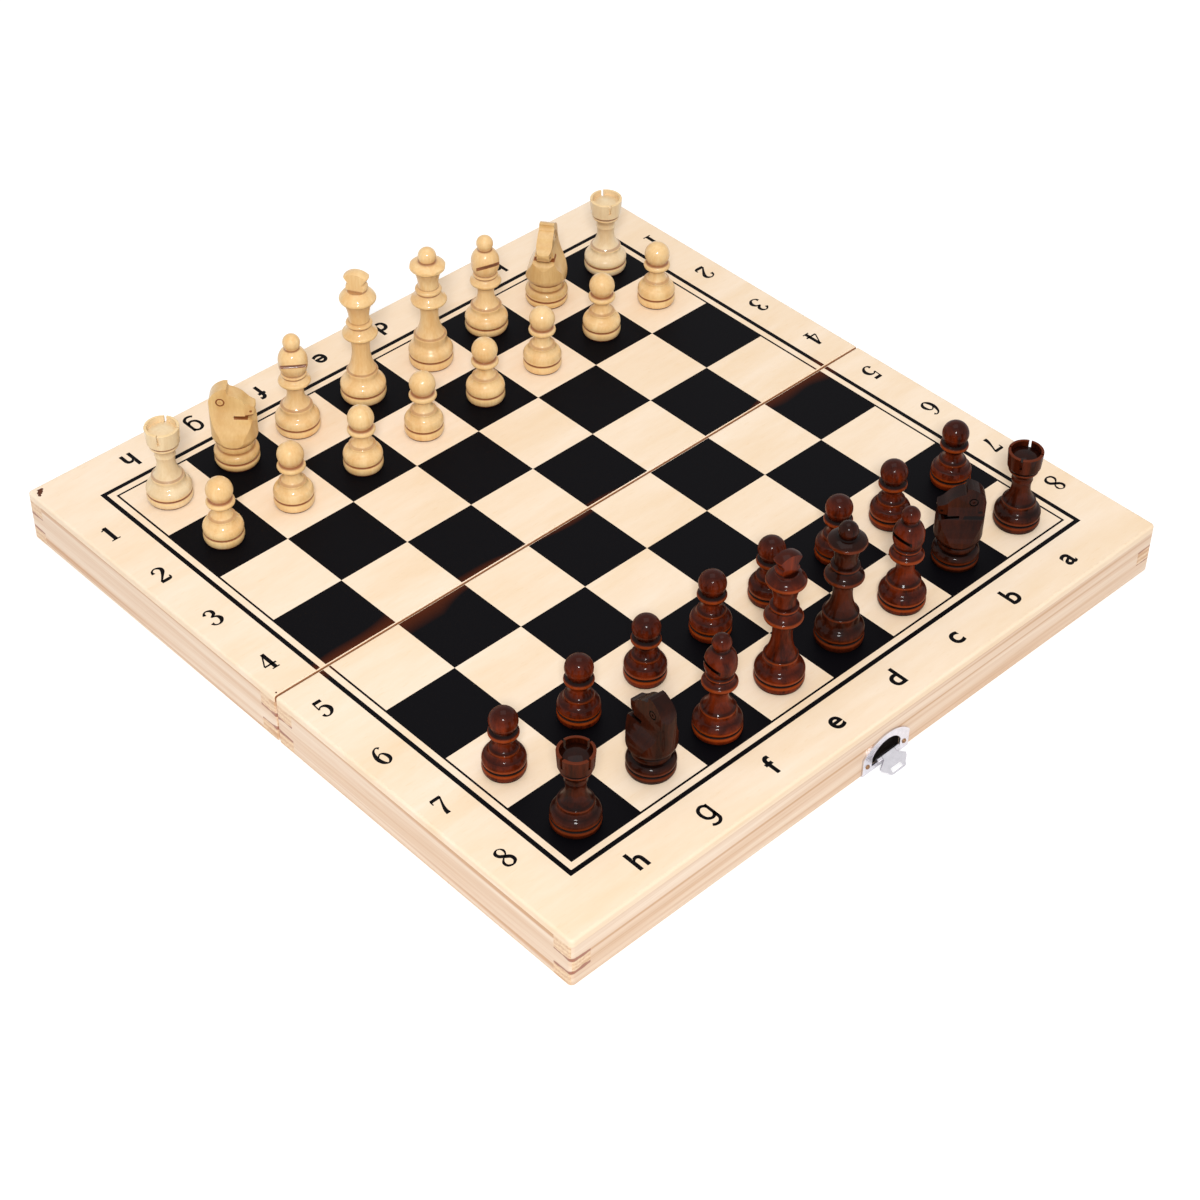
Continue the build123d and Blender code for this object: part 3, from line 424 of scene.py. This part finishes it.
def slit_mark(tree, forward, height):
    """Where painted shade and the stain that gathers there darken the slanting slit of a bishop."""
    slope = calc(tree, "MULTIPLY", calc(tree, "SUBTRACT", forward, SLIT_AT), SLIT_SLOPE)
    off = calc(tree, "SUBTRACT", calc(tree, "SUBTRACT", height, SLIT_HEIGHT), slope)
    in_slit = between(tree, off, -SLIT_HALF_WIDTH, SLIT_HALF_WIDTH)
    return both(tree, in_slit, between(tree, forward, *SLIT_REACH))


def face_marks(tree, forward, height):
    """Where painted shade and the stain that gathers there darken the mouth, the ring round the eye and the
    nostril of a knight.
    """
    face = put(tree, "CombineXYZ", {"X": forward, "Z": height}).outputs[0]
    ring = between(tree, distance(tree, face, EYE), *EYE_RING)
    nostril = calc(tree, "LESS_THAN", distance(tree, face, NOSTRIL), NOSTRIL_SIZE)
    mouth = both(tree, between(tree, height, *MOUTH_HEIGHTS), between(tree, forward, *MOUTH_REACH))
    return either(tree, mouth, ring, nostril)


def carved_marks(tree, kind, stands, place, height):
    """The carved lines of all the bishops or knights that share a material."""
    draw = slit_mark if kind == "bishop" else face_marks
    marks = []
    for x, y, turn in stands:
        cosine, sine = math.cos(math.radians(turn)), math.sin(math.radians(turn))
        forward = put(tree, "VectorMath", {0: place, 1: (cosine, sine, 0.0)}, operation="DOT_PRODUCT")
        forward = calc(tree, "SUBTRACT", forward.outputs["Value"], (x * cosine + y * sine) * MM)
        marks.append(draw(tree, forward, height))
    return either(tree, *marks)


def piece_material(name, kind, stands, look):
    """Lacquered turned wood: upright grain, dark grooves with painted shade in them, worn edges, painted
    shade on the faces that look up and down, and felt under the base.
    """
    made, tree, shader, place, normal = start_material(name)
    grain = use(tree, GRAIN, Place=place, Stretch=look["stretch"], Pale=look["pale"], Deep=look["deep"],
                Bands=look["strengths"][0], Fibres=look["strengths"][1], Pores=look["strengths"][2])
    height = calc(tree, "SUBTRACT", split(tree, place)["Z"], BOARD_TOP)
    facing = split(tree, normal)["Z"]
    # Painted shade: faces that look up are blended towards the deep colour, faces that look down towards the
    # groove colour
    top_shade_mask = remap(tree, facing, 0.1, 0.85, end=look["pooled"])
    under_shade_mask = remap(tree, facing, -0.1, -0.8, end=look["under"])
    shade = blend_colours(tree, top_shade_mask, grain["Colour"], look["deep"])
    shade = blend_colours(tree, under_shade_mask, shade, look["groove"])
    # The groove bands are painted shade with the stain that gathers in the grooves; the edge bands are wear
    for levels, tint in ((EDGES[kind], look["edge"]), (GROOVES[kind], look["groove"])):
        for level, half_width, strength in levels:
            off = calc(tree, "ABSOLUTE", calc(tree, "SUBTRACT", height, level * MM))
            reach = half_width * look["spread"] * MM
            band = remap(tree, off, 0.3 * reach, reach, strength, 0.0, interpolation_type="SMOOTHSTEP")
            shade = blend_colours(tree, band, shade, tint)
    if stands:
        # Painted shade together with stain, in the carved cuts of the bishops and knights
        marks = carved_marks(tree, kind, stands, place, height)
        shade = blend_colours(tree, calc(tree, "MULTIPLY", marks, 0.9), shade, look["groove"])
    is_felt = calc(tree, "LESS_THAN", height, FELT_TOP)
    shade = blend_colours(tree, is_felt, shade, look["felt"])
    tree.links.new(shade, shader.inputs["Base Color"])
    tree.links.new(calc(tree, "MULTIPLY_ADD", is_felt, 0.5, 0.4), shader.inputs["Roughness"])
    coat = calc(tree, "MULTIPLY_ADD", is_felt, -look["gloss"], look["gloss"])
    tree.links.new(coat, shader.inputs["Coat Weight"])
    shader.inputs["Coat Roughness"].default_value = 0.045
    shader.inputs["Specular IOR Level"].default_value = look["shine"]
    bump(tree, shader, grain["Height"], 0.15, 0.04 * MM)
    return made


# Dark grooves, painted shade together with the stain that gathers in them, and worn edges: height above the
# board and half width, both in mm, and strength
GROOVES = {
    "king": [(4.7, 0.75, 0.95), (14.6, 0.6, 0.5), (38.6, 0.8, 0.75), (41.0, 0.5, 0.4), (57.2, 0.7, 0.6)],
    "queen": [(4.8, 0.75, 0.95), (15.6, 0.6, 0.5), (38.3, 0.8, 0.75), (41.0, 0.5, 0.4), (54.6, 0.8, 0.75)],
    "bishop": [(4.3, 0.75, 0.95), (13.2, 0.6, 0.5), (29.0, 0.7, 0.75), (30.6, 0.5, 0.6), (43.2, 0.7, 0.75)],
    "rook": [(4.3, 0.75, 0.95), (12.8, 0.6, 0.5), (29.6, 0.7, 0.9)],
    "pawn": [(4.7, 0.75, 0.95), (12.5, 0.6, 0.4), (21.8, 0.8, 0.85)],
    "knight": [(3.9, 0.75, 0.95), (8.4, 0.5, 0.6), (11.6, 0.6, 0.8)],
}
EDGES = {
    "king": [(3.6, 0.8, 0.6), (5.7, 0.8, 0.6), (13.9, 0.5, 0.5), (34.4, 0.7, 0.5), (39.6, 0.5, 0.4),
             (52.7, 0.8, 0.5)],
    "queen": [(3.7, 0.8, 0.6), (5.8, 0.8, 0.6), (14.9, 0.5, 0.5), (34.2, 0.7, 0.5), (39.4, 0.5, 0.4),
              (51.7, 0.8, 0.5)],
    "bishop": [(3.2, 0.8, 0.6), (5.3, 0.8, 0.6), (12.5, 0.5, 0.5), (26.2, 0.7, 0.5), (29.7, 0.4, 0.4)],
    "rook": [(3.2, 0.8, 0.6), (5.3, 0.8, 0.6), (12.1, 0.5, 0.5), (28.5, 0.6, 0.5), (38.2, 0.4, 0.5)],
    "pawn": [(3.6, 0.8, 0.6), (5.7, 0.8, 0.6), (11.9, 0.5, 0.4), (20.2, 0.7, 0.5)],
    "knight": [(2.9, 0.8, 0.6), (4.9, 0.8, 0.6)],
}
# The faces of the pieces that look up and down are darkened as painted shade
LOOKS = {
    "light": dict(pale=colour("f7d8a2"), deep=colour("dda863"), felt=colour("5a2a14"),
                  groove=colour("8a4318"), edge=colour("f3cd8e"), gloss=0.5, shine=0.25,
                  stretch=(150.0, 150.0, 26.0), strengths=(0.5, 0.3, 0.12), pooled=0.2, under=0.4,
                  spread=1.0),
    "dark": dict(pale=colour("7e2b0c"), deep=colour("290a04"), felt=colour("0c0604"), groove=colour("040101"),
                 edge=colour("a34412"), gloss=0.17, shine=0.03, stretch=(170.0, 170.0, 26.0),
                 strengths=(0.7, 0.35, 0.2), pooled=0.85, under=0.85, spread=1.3),
}
# The dark knights, rooks and queen and the light knights took more stain, the light rooks less
OTHER_STAINS = {
    ("light", "knight"): dict(pale=colour("e6c489"), deep=colour("cc9855")),
    ("dark", "knight"): dict(pale=colour("441807"), deep=colour("160502"), edge=colour("6e2c0f")),
    ("dark", "rook"): dict(pale=colour("541d09"), deep=colour("160502"), edge=colour("7a3211")),
    ("dark", "queen"): dict(pale=colour("501c09"), deep=colour("190602"), edge=colour("7a3211")),
    ("light", "rook"): dict(pale=colour("f2ddb6"), deep=colour("d9b787")),
}
# Where the carved pieces stand and which way they face: X, Y in mm and degrees
STANDS = {
    ("light", "bishop"): [(-54.25, -127.05, 75), (56.05, -127.45, 54)],
    ("dark", "bishop"): [(-53.55, 129.65, -10), (54.15, 130.35, -20)],
    ("light", "knight"): [(-89.45, -124.45, 38), (89.45, -127.45, 136)],
    ("dark", "knight"): [(-89.45, 127.15, -44), (87.55, 127.85, -95)],
}
piece_nodes = [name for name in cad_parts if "_" in name and name.split("_")[1] in GROOVES]
for tone in LOOKS:
    for kind in GROOVES:
        look = {**LOOKS[tone], **OTHER_STAINS.get((tone, kind), {})}
        finish = piece_material(f"{tone} {kind} wood", kind, STANDS.get((tone, kind), []), look)
        for name in piece_nodes:
            if name.startswith(f"{tone}_{kind}"):
                shade_node(name, finish)


# Metal, felt and steel

def metal_material(name, base, worn, rough):
    made, tree, shader, place, normal = start_material(name)
    wear = use(tree, PLATING, Place=place)
    shade = blend_colours(tree, calc(tree, "MULTIPLY", wear["Cloud"], 0.5), base, worn)
    tree.links.new(shade, shader.inputs["Base Color"])
    tree.links.new(calc(tree, "MULTIPLY_ADD", wear["Cloud"], 0.18, rough), shader.inputs["Roughness"])
    shader.inputs["Metallic"].default_value = 1.0
    bump(tree, shader, wear["Scratch"], 0.25, 0.03 * MM)
    return made


def felt_material(name, base, deep):
    made, tree, shader, place, normal = start_material(name)
    fuzz = noise(tree, place, 1500.0, 5.0, Roughness=0.7)
    shade = blend_colours(tree, fuzz, base, deep)
    tree.links.new(shade, shader.inputs["Base Color"])
    shader.inputs["Roughness"].default_value = 0.95
    shader.inputs["Sheen Weight"].default_value = 0.3
    bump(tree, shader, fuzz, 0.6, 0.3 * MM)
    return made


NICKEL = metal_material("nickel plate", colour("e2dfe4"), colour("a5a2ab"), 0.14)
NAIL = metal_material("nail steel", colour("9a7350"), colour("5f4633"), 0.3)
HINGE = metal_material("hinge steel", colour("cfc8b8"), colour("a1967f"), 0.25)
SHEET = metal_material("rolled sheet", colour("a8abb0"), colour("808488"), 0.35)
LINING = felt_material("tray felt", colour("20563a"), colour("123523"))
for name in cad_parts:
    if name in ("latch_plate", "latch_pin", "hasp", "catch_plate"):
        shade_node(name, NICKEL)
    elif name.endswith("nails"):
        shade_node(name, NAIL)
    elif name.startswith("hinge"):
        shade_node(name, HINGE)
    elif name.endswith("steel_sheet"):
        shade_node(name, SHEET)
    elif name.endswith("felt_lining"):
        shade_node(name, LINING)


# Printed letters and numbers of the border

LETTER_SIZE = 13.4 * MM
PEN_LETTER_SIZE = 0.76 * LETTER_SIZE
NUMBER_HEIGHT = 9.7 * MM
LETTER_PLACE = 4.49 * SQUARE
NUMBER_PLACE = 4.48 * SQUARE
LETTER_SPREAD = 0.3 * MM
INK_THICKNESS = 0.012 * MM
PEN_LIFT = 0.02 * MM
PEN_WEIGHT = 1.35
PEN_MIDDLE = 0.31
CURVE_STEPS = 6


def ink_material():
    made, tree, shader, place, normal = start_material("border ink")
    spread = noise(tree, place, 700.0, 3.0)
    tree.links.new(blend_colours(tree, spread, INK, colour("09080a")), shader.inputs["Base Color"])
    shader.inputs["Roughness"].default_value = 0.5
    shader.inputs["Specular IOR Level"].default_value = 0.04
    return made


def glyph(text, x, y, turn, size):
    """One printed letter as a very thin mesh, centred along its line."""
    curve = bpy.data.curves.new("sign", "FONT")
    curve.body = text
    curve.size = size
    curve.align_x = "CENTER"
    curve.extrude = INK_THICKNESS
    curve.offset = LETTER_SPREAD
    made = bpy.data.objects.new("sign", curve)
    bpy.context.collection.objects.link(made)
    made.location = (x, y, BOARD_TOP + INK_THICKNESS)
    made.rotation_euler = (0, 0, math.radians(turn))
    bpy.context.view_layer.update()
    mesh = bpy.data.meshes.new_from_object(made.evaluated_get(bpy.context.evaluated_depsgraph_get()))
    mesh.transform(made.matrix_world)
    bpy.data.objects.remove(made)
    return mesh


def on_curve(a, b, c, d, t):
    """A value on the smooth curve from b to c, with a before them and d after."""
    bend = (2 * a - 5 * b + 4 * c - d) * t ** 2
    twist = (3 * b - a - 3 * c + d) * t ** 3
    return 0.5 * (2 * b + (c - a) * t + bend + twist)


def ribbon(points):
    """Vertices and faces of one pen stroke through points of x, y and width, on a smooth curve."""
    ends = [points[0], *points, points[-1]]
    track = []
    for p0, p1, p2, p3 in zip(ends, ends[1:], ends[2:], ends[3:]):
        for step in range(CURVE_STEPS):
            track.append([on_curve(*values, step / CURVE_STEPS) for values in zip(p0, p1, p2, p3)])
    track.append(list(points[-1]))
    vertices = []
    for before, here, after in zip([track[0], *track], track, [*track[1:], track[-1]]):
        along = Vector((after[0] - before[0], after[1] - before[1])).normalized()
        for side in (-0.5, 0.5):
            width = PEN_WEIGHT * side * here[2]
            vertices.append((here[0] - width * along.y, here[1] + width * along.x, 0.0))
    faces = [(n, n + 1, n + 3, n + 2) for n in range(0, len(vertices) - 2, 2)]
    return vertices, faces


# Signs drawn with a pen: strokes of x, y and width, where 1 is the height of a number
STROKES = {
    "1": [
        [(0.3, 0.0, 0.15), (0.3, 0.98, 0.15)],
        [(0.31, 0.98, 0.06), (0.2, 0.87, 0.06), (0.08, 0.82, 0.04)],
        [(0.08, 0.02, 0.05), (0.52, 0.02, 0.05)],
    ],
    "2": [
        [(0.1, 0.7, 0.13), (0.13, 0.88, 0.07), (0.32, 0.97, 0.06), (0.52, 0.85, 0.12), (0.52, 0.66, 0.14),
         (0.34, 0.4, 0.09), (0.08, 0.09, 0.06)],
        [(0.07, 0.07, 0.13), (0.46, 0.07, 0.13), (0.57, 0.13, 0.08), (0.58, 0.26, 0.04)],
    ],
    "3": [
        [(0.1, 0.78, 0.13), (0.17, 0.93, 0.07), (0.32, 0.98, 0.06), (0.48, 0.87, 0.12), (0.47, 0.66, 0.12),
         (0.26, 0.54, 0.05)],
        [(0.26, 0.54, 0.05), (0.48, 0.47, 0.09), (0.56, 0.27, 0.15), (0.45, 0.07, 0.1), (0.28, 0.01, 0.06),
         (0.12, 0.08, 0.07), (0.08, 0.22, 0.13)],
    ],
    "4": [
        [(0.42, 0.0, 0.14), (0.42, 1.0, 0.14)],
        [(0.42, 0.99, 0.05), (0.04, 0.3, 0.05)],
        [(0.03, 0.29, 0.07), (0.62, 0.29, 0.07)],
        [(0.24, 0.02, 0.05), (0.6, 0.02, 0.05)],
    ],
    "5": [
        [(0.15, 0.98, 0.05), (0.12, 0.5, 0.05)],
        [(0.13, 0.92, 0.13), (0.52, 0.92, 0.13)],
        [(0.12, 0.5, 0.05), (0.26, 0.61, 0.06), (0.46, 0.54, 0.12), (0.54, 0.32, 0.15), (0.44, 0.1, 0.1),
         (0.26, 0.01, 0.06), (0.12, 0.07, 0.08), (0.08, 0.2, 0.13)],
    ],
    "6": [
        [(0.5, 0.88, 0.1), (0.4, 0.98, 0.05), (0.2, 0.86, 0.08), (0.08, 0.5, 0.14), (0.13, 0.18, 0.13),
         (0.3, 0.01, 0.06), (0.48, 0.13, 0.11), (0.52, 0.33, 0.13), (0.44, 0.54, 0.08), (0.3, 0.6, 0.05),
         (0.13, 0.47, 0.05)],
    ],
    "7": [
        [(0.07, 0.72, 0.04), (0.09, 0.94, 0.06)],
        [(0.08, 0.92, 0.12), (0.56, 0.92, 0.12)],
        [(0.56, 0.95, 0.05), (0.37, 0.52, 0.08), (0.27, 0.22, 0.13), (0.26, 0.02, 0.16)],
    ],
    "8": [
        [(0.44, 0.94, 0.05), (0.28, 0.985, 0.05), (0.13, 0.86, 0.11), (0.16, 0.68, 0.12), (0.34, 0.53, 0.13),
         (0.52, 0.37, 0.13), (0.52, 0.15, 0.11), (0.33, 0.01, 0.06)],
        [(0.33, 0.01, 0.06), (0.12, 0.1, 0.09), (0.08, 0.3, 0.09), (0.22, 0.47, 0.05), (0.43, 0.61, 0.05),
         (0.5, 0.8, 0.08), (0.44, 0.94, 0.05)],
    ],
    "g": [
        [(0.54, 0.72, 0.1), (0.54, 0.1, 0.11), (0.52, -0.14, 0.11), (0.36, -0.28, 0.1), (0.16, -0.27, 0.1),
         (0.06, -0.2, 0.1)],
        [(0.54, 0.55, 0.09), (0.46, 0.68, 0.1), (0.3, 0.73, 0.1), (0.12, 0.62, 0.11), (0.06, 0.4, 0.11),
         (0.12, 0.16, 0.11), (0.3, 0.05, 0.1), (0.46, 0.1, 0.1), (0.54, 0.24, 0.09)],
    ],
}


def drawn_sign(text, x, y, turn, size):
    """One pen-drawn sign, flat on the board and centred along its line."""
    cosine, sine = math.cos(math.radians(turn)), math.sin(math.radians(turn))
    vertices, faces = [], []
    for points in STROKES[text]:
        part, quads = ribbon(points)
        faces += [[len(vertices) + i for i in quad] for quad in quads]
        for across, up, _ in part:
            across, up = (across - PEN_MIDDLE) * size, up * size
            vertices.append((x + across * cosine - up * sine, y + across * sine + up * cosine,
                             BOARD_TOP + PEN_LIFT))
    made = bpy.data.meshes.new("sign")
    made.from_pydata(vertices, [], faces)
    return made


def join_meshes(name, meshes, material):
    """One object from several meshes that are already in place."""
    vertices, faces = [], []
    for mesh in meshes:
        first = len(vertices)
        vertices += [v.co.copy() for v in mesh.vertices]
        faces += [[first + i for i in p.vertices] for p in mesh.polygons]
    whole = bpy.data.meshes.new(name)
    whole.from_pydata(vertices, [], faces)
    whole.materials.append(material)
    made = bpy.data.objects.new(name, whole)
    bpy.context.collection.objects.link(made)
    return made


INK_FINISH = ink_material()
signs = {"dark_half": [], "light_half": []}
for index, letter in enumerate("abcdefgh"):
    x = (index - MIDDLE_FILE) * SQUARE
    base = 0.25 * LETTER_SIZE
    for half, y, turn in (("dark_half", LETTER_PLACE + base, 180), ("light_half", -LETTER_PLACE - base, 0)):
        if letter in STROKES:
            signs[half].append(drawn_sign(letter, x, y, turn, PEN_LETTER_SIZE))
        else:
            signs[half].append(glyph(letter, x, y, turn, LETTER_SIZE))
for index in range(8):
    y = (index - MIDDLE_FILE) * SQUARE
    half = "dark_half" if y > 0 else "light_half"
    base = NUMBER_HEIGHT / 2
    signs[half].append(drawn_sign(str(index + 1), NUMBER_PLACE, y + base, 180, NUMBER_HEIGHT))
    signs[half].append(drawn_sign(str(index + 1), -NUMBER_PLACE, y - base, 0, NUMBER_HEIGHT))
for half, meshes in signs.items():
    printed = join_meshes("border_signs_" + half, meshes, INK_FINISH)
    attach(printed, half)


# Camera, floor and light

LENS = 77.64
SENSOR = 36.0
CAMERA_PLACE = (0.57874, 0.6106, 0.73684)
CAMERA_ANGLES = (47.7245, -0.5164, 136.6536)
WHITE = (1.0, 1.0, 1.0, 1.0)
PAPER = (0.8, 0.8, 0.8, 1.0)
FLOOR_REACH = 6.0
GLOW_DISTANCES = (0.4, 2.4)
GLOW_LEVELS = (0.35, 0.64)
# The world lights the board at a plain level, and is white where it is seen
WORLD_LEVEL = 0.5
WORLD_SEEN_MORE = 0.5

camera_data = bpy.data.cameras.new("camera")
camera_data.sensor_width = SENSOR
camera_data.lens = LENS
camera_data.clip_start = 0.05
camera = bpy.data.objects.new("camera", camera_data)
camera.location = CAMERA_PLACE
camera.rotation_euler = [math.radians(a) for a in CAMERA_ANGLES]
bpy.context.collection.objects.link(camera)
bpy.context.scene.camera = camera


def floor_material():
    """Matte white paper that reads as white to the camera and keeps the shadow."""
    made = bpy.data.materials.new("white paper")
    made.use_nodes = True
    tree = made.node_tree
    tree.nodes.clear()
    matte = put(tree, "BsdfDiffuse", {"Color": PAPER}).outputs[0]
    seen = seen_or_mirrored(tree)
    place = put(tree, "TexCoord").outputs["Object"]
    away = put(tree, "VectorMath", {0: place}, operation="LENGTH").outputs["Value"]
    # Far from the lamps the paper glows more, so that it stays as white there
    level = remap(tree, away, *GLOW_DISTANCES, *GLOW_LEVELS)
    glow = put(tree, "Emission", {"Color": WHITE, "Strength": calc(tree, "MULTIPLY", seen, level)})
    total = put(tree, "AddShader", {0: matte, 1: glow.outputs[0]}).outputs[0]
    out = put(tree, "OutputMaterial")
    tree.links.new(total, out.inputs["Surface"])
    return made


floor_mesh = bpy.data.meshes.new("floor")
corners = [(x * FLOOR_REACH, y * FLOOR_REACH, 0) for x, y in ((-1, -1), (1, -1), (1, 1), (-1, 1))]
floor_mesh.from_pydata(corners, [], [(0, 1, 2, 3)])
floor_mesh.materials.append(floor_material())
floor = bpy.data.objects.new("floor", floor_mesh)
bpy.context.collection.objects.link(floor)


def softbox(name, place, size, power):
    """A square area lamp that faces the middle of the board."""
    lamp = bpy.data.lights.new(name, "AREA")
    lamp.shape = "SQUARE"
    lamp.size = size
    lamp.energy = power
    made = bpy.data.objects.new(name, lamp)
    made.location = place
    aim = Vector((0, 0, 0.03)) - Vector(place)
    made.rotation_euler = aim.to_track_quat("-Z", "Y").to_euler()
    bpy.context.collection.objects.link(made)


softbox("overhead", place=(-0.15, -0.2, 1.6), size=1.0, power=5)
softbox("beside the camera", place=(1.11, 1.17, 1.5), size=0.34, power=29)

world = bpy.data.worlds.new("studio")
bpy.context.scene.world = world
world.use_nodes = True
world_tree = world.node_tree
world_tree.nodes.clear()
strength = calc(world_tree, "MULTIPLY_ADD", seen_or_mirrored(world_tree), WORLD_SEEN_MORE, WORLD_LEVEL)
backdrop = put(world_tree, "Background", {"Color": WHITE, "Strength": strength})
world_out = put(world_tree, "OutputWorld")
world_tree.links.new(backdrop.outputs[0], world_out.inputs["Surface"])
bpy.context.scene.view_settings.view_transform = "Standard"
